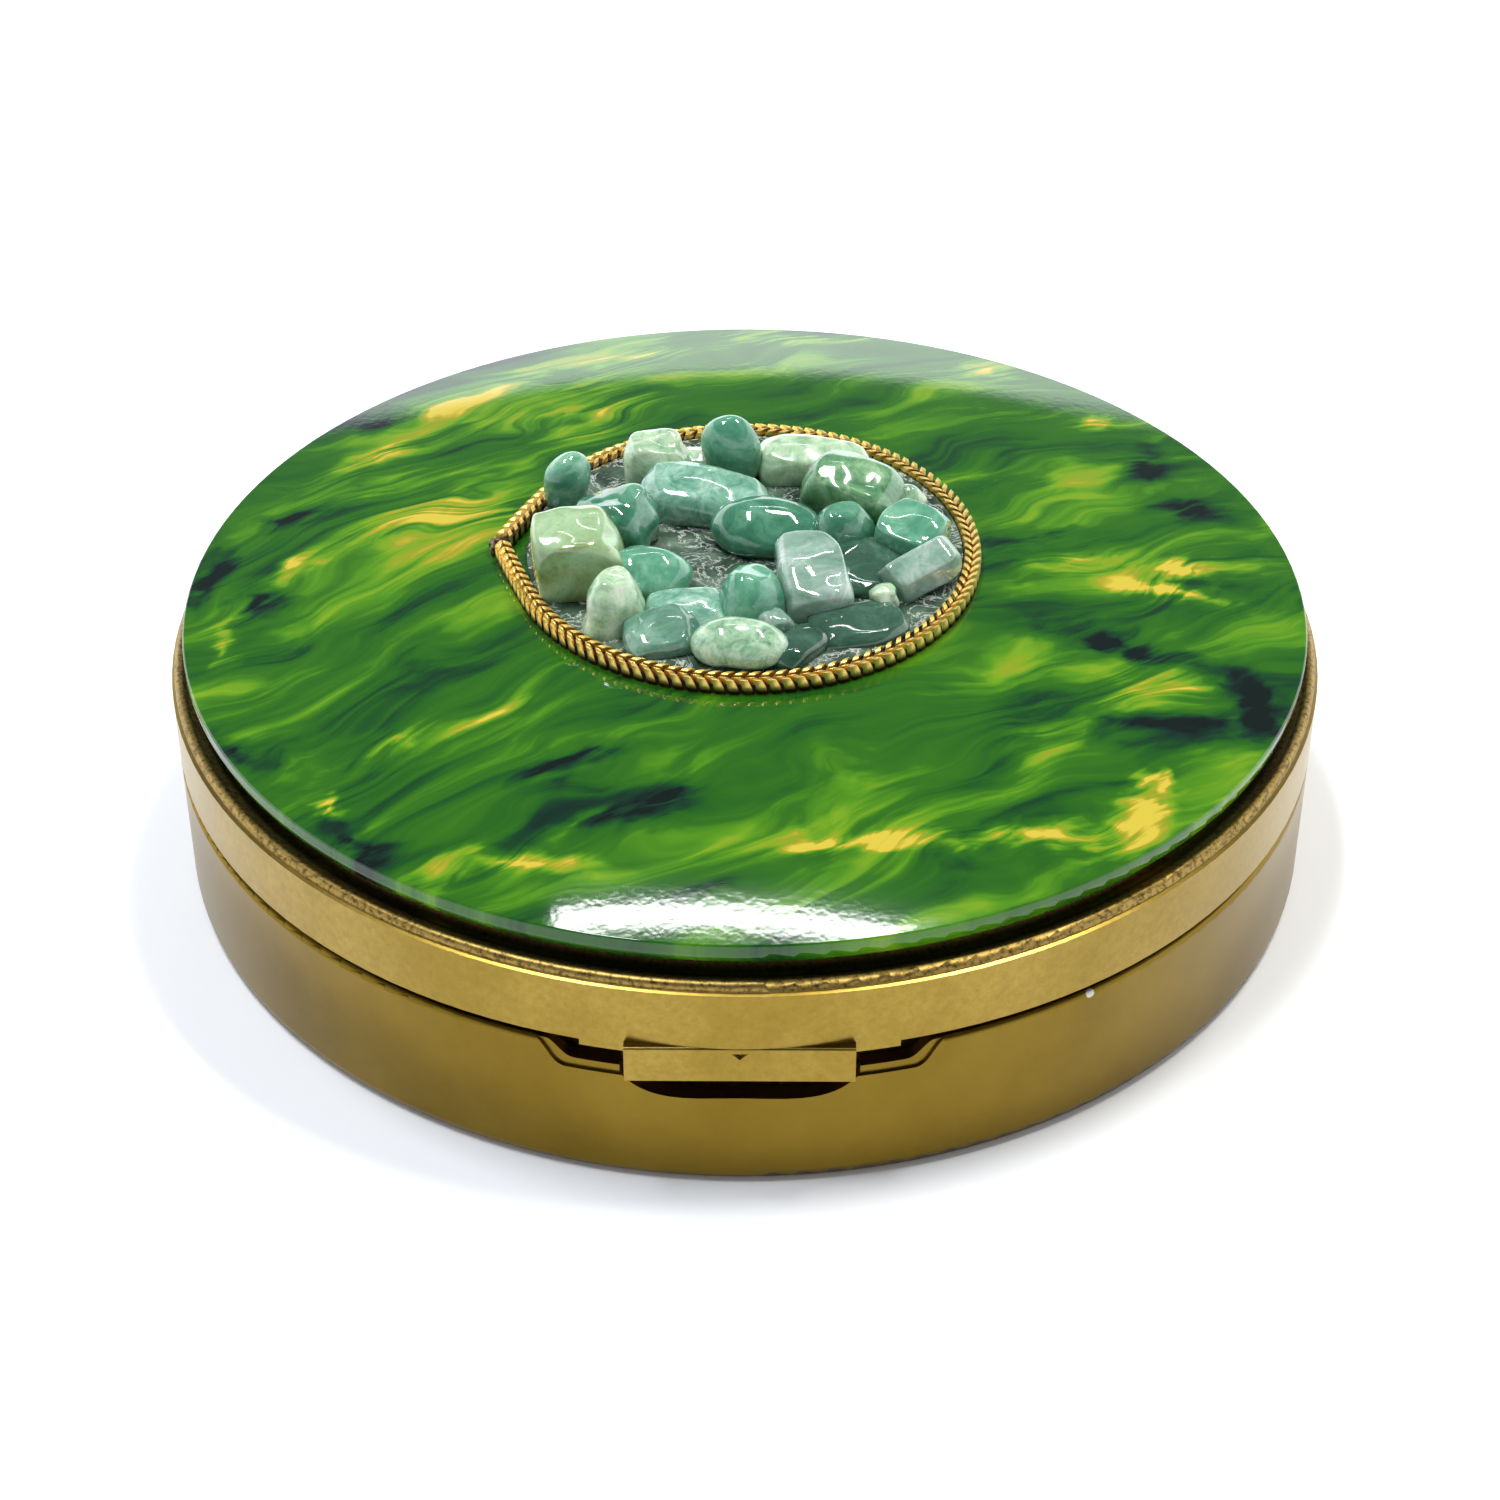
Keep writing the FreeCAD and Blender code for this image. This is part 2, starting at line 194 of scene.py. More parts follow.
def makeWorld():
    world = bpy.data.worlds.new("studio")
    world.use_nodes = True
    tree = world.node_tree
    tree.nodes.clear()
    where = addNode(tree, "ShaderNodeTexCoord")
    parts = addNode(tree, "ShaderNodeSeparateXYZ", {}, {0: where.outputs["Generated"]})
    aside = addNode(tree, "ShaderNodeMath", {"operation": "MULTIPLY"}, {
        0: parts.outputs["X"], 1: parts.outputs["X"]})
    level = addNode(tree, "ShaderNodeMath", {"operation": "MULTIPLY_ADD"}, {
        0: aside.outputs[0], 1: -worldSetup["rise"], 2: parts.outputs["Z"]})
    edge = worldSetup["edge"]
    glow = addNode(tree, "ShaderNodeValToRGB", {"stops": [
        (0.0, worldSetup["backdrop"]), (edge, worldSetup["backdrop"]), (edge + 0.02, worldSetup["room"]),
        (1.0, worldSetup["room"])]}, {0: level.outputs[0]})
    power = addNode(tree, "ShaderNodeMapRange", {}, {
        "Value": parts.outputs["Y"], "From Min": -0.4, "From Max": 0.4,
        "To Min": worldSetup["front"] * worldSetup["strength"], "To Max": worldSetup["strength"]})
    light = addNode(tree, "ShaderNodeBackground", {}, {
        "Color": glow.outputs[0], "Strength": power.outputs[0]})
    addNode(tree, "ShaderNodeOutputWorld", {}, {"Surface": light.outputs[0]})
    bpy.context.scene.world = world


makeCamera()
makeFloor()
makeLights()
makeWorld()
bpy.context.scene.view_settings.view_transform = "Standard"
print("camera, floor and lights are set")


# Case: drawn brass, satin lacquered

# The base's colours are darker than the lid's: painted shade for the shaded floor near the box that the base
# reflects.
brassSetup = {
    "lidLight": "#A38A43", "lidDark": "#927A34", "baseShadedLight": "#816A24", "baseShadedDark": "#715C1A",
    "cloudMm": 6.0, "grainMm": 0.35, "grainShade": "#7C6328",
    "roughness": (0.25, 0.33),
    "shoulderMm": 9.79, "wornLight": "#9C8246", "wornDark": "#5A4826", "wornMm": 0.22,
    # the channel colour is painted shade for the shelf under the plate's edge
    "channelMm": 24.40, "channelShade": "#4A3A1E",
    "nickAt": (13.9, -21.2, 6.42), "nickMm": 0.27, "nick": "#B8B4A6",
}


def makeBrass(name, light, dark, worn):
    # Satin brass: a warm metal whose fine rolled grain spreads its highlights; the lid's beaded
    # shoulder has lost its lacquer, so it is specked with brown tarnish, and its channel under the
    # plate's edge is painted dark brown as painted shade.
    material = newMaterial(name)
    tree = material.node_tree
    where = addNode(tree, "ShaderNodeTexCoord").outputs["Object"]
    cloud = addNode(tree, "ShaderNodeTexNoise", {}, {
        "Vector": where, "Scale": 1000 / brassSetup["cloudMm"], "Detail": 4, "Roughness": 0.6})
    tone = addNode(tree, "ShaderNodeValToRGB", {"stops": [(0.35, dark), (0.65, light)]}, {
        0: cloud.outputs["Fac"]})
    grain = addNode(tree, "ShaderNodeTexNoise", {}, {
        "Vector": where, "Scale": 1000 / brassSetup["grainMm"], "Detail": 4, "Roughness": 0.7})
    grainMask = addNode(tree, "ShaderNodeMapRange", {}, {
        "Value": grain.outputs["Fac"], "From Min": 0.35, "From Max": 0.70, "To Max": 0.5})
    color = addNode(tree, "ShaderNodeMixRGB", {}, {
        "Fac": grainMask.outputs[0], "Color1": tone.outputs[0],
        "Color2": linear(brassSetup["grainShade"])}).outputs[0]
    low, high = brassSetup["roughness"]
    rough = addNode(tree, "ShaderNodeMapRange", {}, {
        "Value": cloud.outputs["Fac"], "To Min": low, "To Max": high}).outputs[0]
    if worn:
        spots = addNode(tree, "ShaderNodeTexNoise", {}, {
            "Vector": where, "Scale": 1000 / brassSetup["wornMm"], "Detail": 4, "Roughness": 0.7})
        wornTone = addNode(tree, "ShaderNodeValToRGB", {"stops": [
            (0.38, brassSetup["wornDark"]), (0.54, brassSetup["wornLight"])]}, {0: spots.outputs["Fac"]})
        parts = addNode(tree, "ShaderNodeSeparateXYZ", {}, {0: where})
        edge = brassSetup["shoulderMm"] * mm
        onShoulder = addNode(tree, "ShaderNodeMapRange", {}, {
            "Value": parts.outputs["Z"], "From Min": edge - 0.04 * mm,
            "From Max": edge + 0.04 * mm}).outputs[0]
        flat = addNode(tree, "ShaderNodeVectorMath", {"operation": "MULTIPLY"}, {0: where, 1: (1, 1, 0)})
        radius = addNode(tree, "ShaderNodeVectorMath", {"operation": "LENGTH"}, {0: flat.outputs[0]})
        # painted shade: inside the bead, under the plate's edge, the colour turns dark brown
        underPlateShade = addNode(tree, "ShaderNodeMapRange", {}, {
            "Value": radius.outputs["Value"], "From Min": brassSetup["channelMm"] * mm,
            "From Max": (brassSetup["channelMm"] + 0.2) * mm, "To Min": 0.8, "To Max": 0.0})
        wornWithChannelShade = addNode(tree, "ShaderNodeMixRGB", {}, {
            "Fac": underPlateShade.outputs[0], "Color1": wornTone.outputs[0],
            "Color2": linear(brassSetup["channelShade"])})
        color = addNode(tree, "ShaderNodeMixRGB", {}, {
            "Fac": onShoulder, "Color1": color, "Color2": wornWithChannelShade.outputs[0]}).outputs[0]
        rough = addNode(tree, "ShaderNodeMath", {"operation": "MULTIPLY_ADD"}, {
            0: onShoulder, 1: 0.12, 2: rough}).outputs[0]
    else:
        nickMap = addNode(tree, "ShaderNodeMapping", {"vector_type": "TEXTURE"}, {
            "Vector": where, "Location": [v * mm for v in brassSetup["nickAt"]],
            "Scale": [brassSetup["nickMm"] * mm] * 3})
        nickBall = addNode(tree, "ShaderNodeTexGradient", {"gradient_type": "SPHERICAL"}, {
            0: nickMap.outputs[0]})
        nick = addNode(tree, "ShaderNodeMapRange", {}, {
            "Value": nickBall.outputs["Fac"], "From Min": 0.2, "From Max": 0.35}).outputs[0]
        color = addNode(tree, "ShaderNodeMixRGB", {}, {
            "Fac": nick, "Color1": color, "Color2": linear(brassSetup["nick"])}).outputs[0]
    bump = addNode(tree, "ShaderNodeBump", {}, {
        "Height": grain.outputs["Fac"], "Strength": 0.10, "Distance": 0.02 * mm})
    shader = addNode(tree, "ShaderNodeBsdfPrincipled", {}, {
        "Base Color": color, "Metallic": 1.0, "Roughness": rough, "Normal": bump.outputs[0]})
    addNode(tree, "ShaderNodeOutputMaterial", {}, {"Surface": shader.outputs[0]})
    return material


lidBrass = makeBrass("satin brass lid", brassSetup["lidLight"], brassSetup["lidDark"], True)
# The base, its hinge leaf and its pin take the darker colours: painted shade, the same brass as the lid.
shadedBaseBrass = makeBrass("satin brass base painted darker for shade", brassSetup["baseShadedLight"], brassSetup["baseShadedDark"], False)
# The collar is painted near-black brown: painted shade for the shadowed gap between lid and base where it stands.
shadedCollarBrass = makeBrass("brass collar painted dark for shade", "#3E2E16", "#24190B", False)
for nodeName in ("lid_shell", "hinge_leaf_lid"):
    paint(nodeName, lidBrass)
for nodeName in ("base_shell", "hinge_leaf_base", "hinge_pin"):
    paint(nodeName, shadedBaseBrass)
paint("inner_collar", shadedCollarBrass)
print("brass is on the case")


# Marbled plate. The marbling is one field, from dark to yellow. Each swirl adds to it or takes from
# it, in an ellipse: centre x, y, half length, half width (mm), turn (degrees), strength.

marbleSetup = {
    "flowTurn": 30, "broadMm": (12.0, 2.9), "threadMm": (6.0, 0.55),
    "bends": [((12.0, 8.0), (3.4, 2.2), 11.0), ((5.5, 2.0), (1.3, 0.42), 31.0)],
    "curls": [((5.0, 3.6), (1.1, 0.8), 5.0), ((1.9, 0.9), (0.7, 0.34), 7.0)],
    "ramp": [(0.04, "#06140F"), (0.15, "#0A2A1C"), (0.24, "#0F3E16"), (0.35, "#1D5410"),
             (0.48, "#2B600E"), (0.60, "#467C10"), (0.70, "#678E16"), (0.79, "#808A1A"),
             (0.87, "#9A9022"), (1.0, "#BEAA3A")],
    "swirls": [
        (18.5, -1.2, 5.5, 1.5, -8, 0.75), (20.0, 1.3, 4.2, 1.1, 22, 0.65), (14.5, 0.5, 4.5, 1.6, 12, 0.25),
        (4.5, -19.0, 7.0, 1.4, 4, 0.70), (11.5, -18.6, 5.0, 1.7, 8, 0.90), (15.6, -16.8, 2.6, 1.9, 40, 0.95),
        (16.7, -14.9, 1.3, 1.6, 70, 0.80), (-9.0, -20.4, 5.5, 1.3, -8, 0.60),
        (-16.4, -16.2, 1.8, 1.0, -35, 0.55), (-17.0, 11.0, 5.0, 1.8, 35, 0.50),
        (-13.5, 16.8, 6.5, 1.5, 42, 0.45), (-6.0, 20.8, 6.5, 1.8, 15, 0.35), (17.0, 15.2, 1.6, 1.3, 0, 0.45),
        (12.0, 19.6, 3.0, 2.0, 20, 0.35), (2.5, 23.6, 7.0, 1.5, -8, 0.35), (-14.0, 4.5, 8.0, 6.0, 35, 0.46),
        (-8.0, 14.5, 9.0, 4.5, 25, 0.46), (17.6, -8.6, 3.6, 2.0, 25, 0.35), (12.5, -13.2, 3.0, 1.6, 35, 0.22),
        (-20.0, 1.0, 2.4, 1.2, 60, 0.50), (-6.5, -17.6, 3.0, 0.9, 35, 0.50), (-14.5, -12.5, 4.5, 1.2, 30, 0.35),
        (-22.6, -5.0, 1.0, 3.2, 0, 0.35), (-10.0, -11.0, 4.5, 0.9, 35, 0.28), (-21.3, -1.5, 2.4, 3.6, 15, -0.60),
        (-21.0, 5.6, 2.6, 1.4, 15, -0.50), (-24.0, 1.0, 1.2, 4.0, 0, -0.55), (-18.0, 14.8, 3.2, 1.9, 20, -0.45),
        (-13.0, -6.2, 6.5, 2.6, 12, -0.16), (-7.4, -14.6, 4.0, 1.3, 25, -0.55), (-4.0, -17.2, 6.0, 1.6, 8, -0.50),
        (16.5, -5.6, 6.5, 1.7, -18, -0.60), (21.4, -8.8, 1.7, 4.6, 12, -0.65), (17.0, -11.3, 5.0, 1.5, 12, -0.55),
        (18.5, 10.8, 3.4, 2.4, -15, -0.60), (20.5, 6.8, 3.6, 2.6, 10, -0.50), (13.0, 2.8, 6.0, 1.1, 22, -0.35),
        (-15.0, -18.6, 3.2, 1.6, -40, -0.50), (-21.0, -12.5, 4.0, 1.7, -50, -0.40),
        (12.0, -22.3, 6.0, 1.3, 18, -0.30), (5.0, 15.5, 11.0, 4.5, -10, -0.12), (4.0, -12.5, 10.0, 3.5, 10, -0.06),
    ],
}


def makeMarble():
    # Cast marbled resin-stone polished to a wet gloss: streaks of lime, leaf green and near-black
    # green drawn out in one direction, with curls of yellow, all under one clear surface.
    material = newMaterial("polished marbled stone")
    tree = material.node_tree
    where = addNode(tree, "ShaderNodeTexCoord").outputs["Object"]
    turn = marbleSetup["flowTurn"]
    flow = addNode(tree, "ShaderNodeMapping", {"vector_type": "TEXTURE"}, {
        "Vector": where, "Rotation": (0, 0, math.radians(turn)), "Scale": (mm, mm, mm)}).outputs[0]

    def stretched(vector, sizeMm, detail, seed=0.0):
        spread = addNode(tree, "ShaderNodeMapping", {"vector_type": "TEXTURE"}, {
            "Vector": vector, "Location": (seed, seed, 0), "Scale": (sizeMm[0], sizeMm[1], 1000)})
        return addNode(tree, "ShaderNodeTexNoise", {}, {
            "Vector": spread.outputs[0], "Scale": 1.0, "Detail": detail, "Roughness": 0.5})

    def pushed(vector, steps):
        # each step pushes a point along and across the flow by a smooth noise, which makes swirls
        for sizeMm, pushMm, seed in steps:
            noise = stretched(vector, sizeMm, 2, seed)
            centred = addNode(tree, "ShaderNodeVectorMath", {"operation": "SUBTRACT"}, {
                0: noise.outputs["Color"], 1: (0.5, 0.5, 0.5)})
            vector = addNode(tree, "ShaderNodeVectorMath", {"operation": "MULTIPLY_ADD"}, {
                0: centred.outputs[0], 1: (4 * pushMm[0], 4 * pushMm[1], 0), 2: vector}).outputs[0]
        return vector

    bent = pushed(flow, marbleSetup["bends"])
    curled = pushed(flow, marbleSetup["curls"])
    broad = stretched(bent, marbleSetup["broadMm"], 5).outputs["Fac"]
    threads = stretched(bent, marbleSetup["threadMm"], 4, 50.0).outputs["Fac"]
    base = addNode(tree, "ShaderNodeMapRange", {"clamp": False}, {
        "Value": broad, "From Min": 0.25, "From Max": 0.75, "To Min": 0.08, "To Max": 0.80}).outputs[0]
    fine = addNode(tree, "ShaderNodeMapRange", {"clamp": False}, {
        "Value": threads, "From Min": 0.25, "From Max": 0.75, "To Min": -0.11, "To Max": 0.11}).outputs[0]
    field = addNode(tree, "ShaderNodeMath", {"operation": "ADD"}, {0: base, 1: fine}).outputs[0]
    swirls = 0.0
    for x, y, along, across, tilt, strength in marbleSetup["swirls"]:
        spot = addNode(tree, "ShaderNodeMapping", {"vector_type": "TEXTURE"}, {
            "Vector": curled, "Location": Matrix.Rotation(math.radians(-turn), 3, "Z") @ Vector((x, y, 0)),
            "Rotation": (0, 0, math.radians(tilt - turn)), "Scale": (along, across, 1000)})
        ball = addNode(tree, "ShaderNodeTexGradient", {"gradient_type": "QUADRATIC_SPHERE"}, {
            0: spot.outputs[0]})
        swirls = addNode(tree, "ShaderNodeMath", {"operation": "MULTIPLY_ADD"}, {
            0: ball.outputs["Fac"], 1: 1.25 * strength, 2: swirls}).outputs[0]
    # the threads tear the swirls' edges into wisps
    tear = addNode(tree, "ShaderNodeMapRange", {"clamp": False}, {
        "Value": threads, "From Min": 0.30, "From Max": 0.70, "To Min": 0.25, "To Max": 1.75}).outputs[0]
    field = addNode(tree, "ShaderNodeMath", {"operation": "MULTIPLY_ADD"}, {
        0: swirls, 1: tear, 2: field}).outputs[0]
    ramp = addNode(tree, "ShaderNodeValToRGB", {"stops": marbleSetup["ramp"]}, {0: field})
    polish = addNode(tree, "ShaderNodeTexNoise", {}, {"Vector": where, "Scale": 1000 / 0.35, "Detail": 1})
    bump = addNode(tree, "ShaderNodeBump", {}, {
        "Height": polish.outputs["Fac"], "Strength": 0.06, "Distance": 0.02 * mm})
    shader = addNode(tree, "ShaderNodeBsdfPrincipled", {}, {
        "Base Color": ramp.outputs[0], "Roughness": 0.05, "IOR": 1.52, "Normal": bump.outputs[0]})
    addNode(tree, "ShaderNodeOutputMaterial", {}, {"Surface": shader.outputs[0]})
    return material


def makeCement():
    # Clear amber contact cement: dull, slightly uneven
    material = newMaterial("amber cement")
    tree = material.node_tree
    where = addNode(tree, "ShaderNodeTexCoord").outputs["Object"]
    noise = addNode(tree, "ShaderNodeTexNoise", {}, {"Vector": where, "Scale": 1000 / 2.0})
    tone = addNode(tree, "ShaderNodeValToRGB", {"stops": [(0.3, "#6A5630"), (0.7, "#8A7446")]}, {
        0: noise.outputs["Fac"]})
    shader = addNode(tree, "ShaderNodeBsdfPrincipled", {}, {"Base Color": tone.outputs[0], "Roughness": 0.6})
    addNode(tree, "ShaderNodeOutputMaterial", {}, {"Surface": shader.outputs[0]})
    return material


paint("marbled_plate", makeMarble())
paint("plate_cement", makeCement())
print("the plate is marbled")


# Plaited chain round the medallion

chainSetup = {
    "links": 112, "centre": (0, 0.45), "radius": 10.05, "stretch": 1.03, "reach": 0.80, "spread": 24.0,
    "joinAngle": 178, "joinGap": 1.2, "foot": 13.12, "barLength": 0.28, "halfWidth": 0.34,
    "barDepth": 0.22, "barTop": 0.73,
    "arm": (0.21, 0.0, 0.06), "shoulder": (0.19, 0.0, -0.02), "bend": (0.08, 0.04, -0.16),
    "leg": (0.05, 0.0, -0.22), "coreWide": 0.58, "coreTall": 0.52, "coreSteps": 180,
    "gold": "#FCD678", "goldShade": "#4A2A10", "core": "#34160A", "coreDark": "#180804",
}


def chainPoint(degrees):
    # a slightly oval ring drawn out to a point on its left side, where the two ends meet
    away = abs((degrees % 360) - chainSetup["joinAngle"]) / chainSetup["spread"]
    radius = chainSetup["radius"] + chainSetup["reach"] * max(0, 1 - away) ** 2
    angle = math.radians(degrees)
    centre = chainSetup["centre"]
    return Vector((centre[0] + radius * math.cos(angle),
                   centre[1] + chainSetup["stretch"] * radius * math.sin(angle), 0))


def makeChainPath():
    curve = bpy.data.curves.new("chainPath", "CURVE")
    curve.dimensions = "3D"
    curve.twist_mode = "Z_UP"
    line = curve.splines.new("POLY")
    steps = 360
    gap = chainSetup["joinGap"]
    start = chainSetup["joinAngle"] + gap
    points = [chainPoint(start + (360 - 2 * gap) * k / steps) for k in range(steps + 1)]
    line.points.add(steps)
    for spot, point in zip(line.points, points):
        spot.co = (point.x, point.y, point.z, 1)
    path = bpy.data.objects.new("chainPath", curve)
    bpy.context.scene.collection.objects.link(path)
    length = sum((b - a).length for a, b in zip(points, points[1:]))
    return path, length


def makeGold():
    # Polished rolled gold: rich yellow on the crowns, painted darker brown towards the foot of the links as
    # painted shade on their sides, with a random mottle
    material = newMaterial("polished rolled gold")
    tree = material.node_tree
    where = addNode(tree, "ShaderNodeTexCoord").outputs["Object"]
    noise = addNode(tree, "ShaderNodeTexNoise", {}, {"Vector": where, "Scale": 1000 / 0.6, "Detail": 3})
    height = addNode(tree, "ShaderNodeSeparateXYZ", {}, {0: where}).outputs["Z"]
    foot = chainSetup["foot"]
    # painted shade: the lower a point on the links, the darker brown it is painted
    rise = addNode(tree, "ShaderNodeMapRange", {}, {
        "Value": height, "From Min": (foot + 0.22) * mm, "From Max": (foot + 0.62) * mm}).outputs[0]
    mixed = addNode(tree, "ShaderNodeMath", {"operation": "MULTIPLY_ADD"}, {
        0: noise.outputs["Fac"], 1: 0.3, 2: rise}).outputs[0]
    tone = addNode(tree, "ShaderNodeValToRGB", {"stops": [
        (0.15, chainSetup["goldShade"]), (0.75, chainSetup["gold"])]}, {0: mixed})
    shader = addNode(tree, "ShaderNodeBsdfPrincipled", {}, {
        "Base Color": tone.outputs[0], "Metallic": 1.0, "Roughness": 0.40})
    addNode(tree, "ShaderNodeOutputMaterial", {}, {"Surface": shader.outputs[0]})
    return material


def makeShadeCoreMaterial():
    # Painted shade between the links: a dull near-black brown that stands for the shade in the gaps
    material = newMaterial("painted shade between links")
    tree = material.node_tree
    where = addNode(tree, "ShaderNodeTexCoord").outputs["Object"]
    noise = addNode(tree, "ShaderNodeTexNoise", {}, {"Vector": where, "Scale": 1000 / 0.4})
    tone = addNode(tree, "ShaderNodeValToRGB", {"stops": [
        (0.3, chainSetup["coreDark"]), (0.7, chainSetup["core"])]}, {0: noise.outputs["Fac"]})
    shader = addNode(tree, "ShaderNodeBsdfPrincipled", {}, {
        "Base Color": tone.outputs[0], "Metallic": 0.4, "Roughness": 0.6})
    addNode(tree, "ShaderNodeOutputMaterial", {}, {"Surface": shader.outputs[0]})
    return material


def repeatAlong(piece, path, count, step):
    # a row of copies, bent round the chain's path
    applyModifier(piece, "ARRAY", {
        "count": count, "use_relative_offset": False, "use_constant_offset": True,
        "constant_offset_displace": (step, 0, 0), "use_merge_vertices": True, "merge_threshold": 0.0005})
    applyModifier(piece, "CURVE", {"object": path, "deform_axis": "POS_X"})
    settle(piece, (0, 0, chainSetup["foot"]))


def makeChainLinks(path, length):
    # One link is a bent bar: a V across the top whose arms rise from a valley, then turn down the
    # two sides as slanted legs.
    setup = chainSetup
    clearSelection()
    bpy.ops.mesh.primitive_cube_add(size=1, location=(0, 0, 0))
    link = bpy.context.object
    link.scale = (setup["barLength"], 2 * setup["halfWidth"], setup["barDepth"])
    link.location = (0, 0, setup["barTop"] - setup["barDepth"] / 2)
    bpy.ops.object.transform_apply(location=True, rotation=False, scale=True)
    bpy.ops.object.mode_set(mode="EDIT")
    for cut in (-0.5, 0, 0.5):
        bpy.ops.mesh.select_all(action="SELECT")
        bpy.ops.mesh.bisect(plane_co=(0, cut * setup["halfWidth"], 0), plane_no=(0, 1, 0))
    for side in (-1, 1):
        pickVerts(link, lambda co: co.y * side > 0.4 * setup["halfWidth"])
        bpy.ops.transform.translate(value=setup["arm"])
        pickVerts(link, lambda co: co.y * side > 0.9 * setup["halfWidth"])
        bpy.ops.transform.translate(value=setup["shoulder"])
        pickFaces(link, lambda center, normal: normal.y * side > 0.7)
        for part in ("bend", "leg"):
            along, out, down = setup[part]
            bpy.ops.mesh.extrude_region_move(TRANSFORM_OT_translate={"value": (along, side * out, down)})
    bpy.ops.object.mode_set(mode="OBJECT")
    repeatAlong(link, path, setup["links"], length / setup["links"])
    link.name = "chainLinks"
    makeActive(link)
    bpy.ops.object.shade_smooth_by_angle(angle=math.radians(50))
    link.data.materials.append(makeGold())
    return link


def makeChainShadeCore(path, length):
    # the dark body that shows between the links, painted near-black as painted shade for the gaps
    setup = chainSetup
    clearSelection()
    bpy.ops.mesh.primitive_cube_add(size=1, location=(0, 0, 0))
    core = bpy.context.object
    step = length / setup["coreSteps"]
    core.scale = (step, setup["coreWide"], setup["coreTall"])
    core.location = (step / 2, 0, setup["coreTall"] / 2)
    bpy.ops.object.transform_apply(location=True, rotation=False, scale=True)
    bpy.ops.object.mode_set(mode="EDIT")
    for side in (-1, 1):
        pickFaces(core, lambda center, normal: normal.x * side > 0.9)
        bpy.ops.mesh.delete(type="FACE")
    bpy.ops.object.mode_set(mode="OBJECT")
    repeatAlong(core, path, setup["coreSteps"], step)
    bpy.ops.object.mode_set(mode="EDIT")
    bpy.ops.mesh.select_all(action="SELECT")
    bpy.ops.mesh.fill_holes(sides=8)
    bpy.ops.object.mode_set(mode="OBJECT")
    core.name = "chainShadeCore"
    core.data.materials.append(makeShadeCoreMaterial())
    return core


chainPath, chainLength = makeChainPath()
chainLinks = makeChainLinks(chainPath, chainLength)
chainShadeCore = makeChainShadeCore(chainPath, chainLength)
bpy.data.objects.remove(chainPath)
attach(chainLinks, "lid")
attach(chainShadeCore, "lid")
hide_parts("chain_ring")
print("the chain is plaited,", len(chainLinks.data.polygons), "faces")


# Solder at the chain's join

solderSetup = {"at": (-11.0, 0.83, 13.45), "size": (0.80, 0.85, 0.75), "lumpMm": 0.30,
               "dark": "#241C16", "light": "#8C7A5C"}


def makeSolder():
    clearSelection()
    bpy.ops.mesh.primitive_ico_sphere_add(subdivisions=4, radius=0.5)
    blob = bpy.context.object
    blob.scale = solderSetup["size"]
    bpy.ops.object.transform_apply(location=False, rotation=False, scale=True)
    lumps = bpy.data.textures.new("solderLumps", "CLOUDS")
    lumps.noise_scale = 0.35
    applyModifier(blob, "DISPLACE", {"texture": lumps, "strength": solderSetup["lumpMm"], "mid_level": 0.5})
    settle(blob, solderSetup["at"])
    nameAndSmooth(blob, "chainSolder")
    # Oxidised soft solder: lumpy, nearly black with grey-gold rubbed crowns
    material = newMaterial("oxidised solder")
    tree = material.node_tree
    where = addNode(tree, "ShaderNodeTexCoord").outputs["Object"]
    noise = addNode(tree, "ShaderNodeTexNoise", {}, {"Vector": where, "Scale": 1000 / 0.3, "Detail": 4})
    tone = addNode(tree, "ShaderNodeValToRGB", {"stops": [
        (0.42, solderSetup["dark"]), (0.60, solderSetup["light"])]}, {0: noise.outputs["Fac"]})
    shader = addNode(tree, "ShaderNodeBsdfPrincipled", {}, {
        "Base Color": tone.outputs[0], "Metallic": 0.8, "Roughness": 0.45})
    addNode(tree, "ShaderNodeOutputMaterial", {}, {"Surface": shader.outputs[0]})
    blob.data.materials.append(material)
    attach(blob, "lid")
    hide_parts("chain_solder_join")


makeSolder()


# Resin bed under the chips

bedSetup = {"centre": (0, 0.45), "radius": 9.62, "stretch": 1.03, "foot": 13.20, "top": 13.66, "rings": 14,
            "lumpMm": 0.22, "dusts": ["#26342A", "#425645", "#6A7C6A"], "wisp": "#DDE2DA", "wispMm": 1.7,
            "gritMm": 0.25}


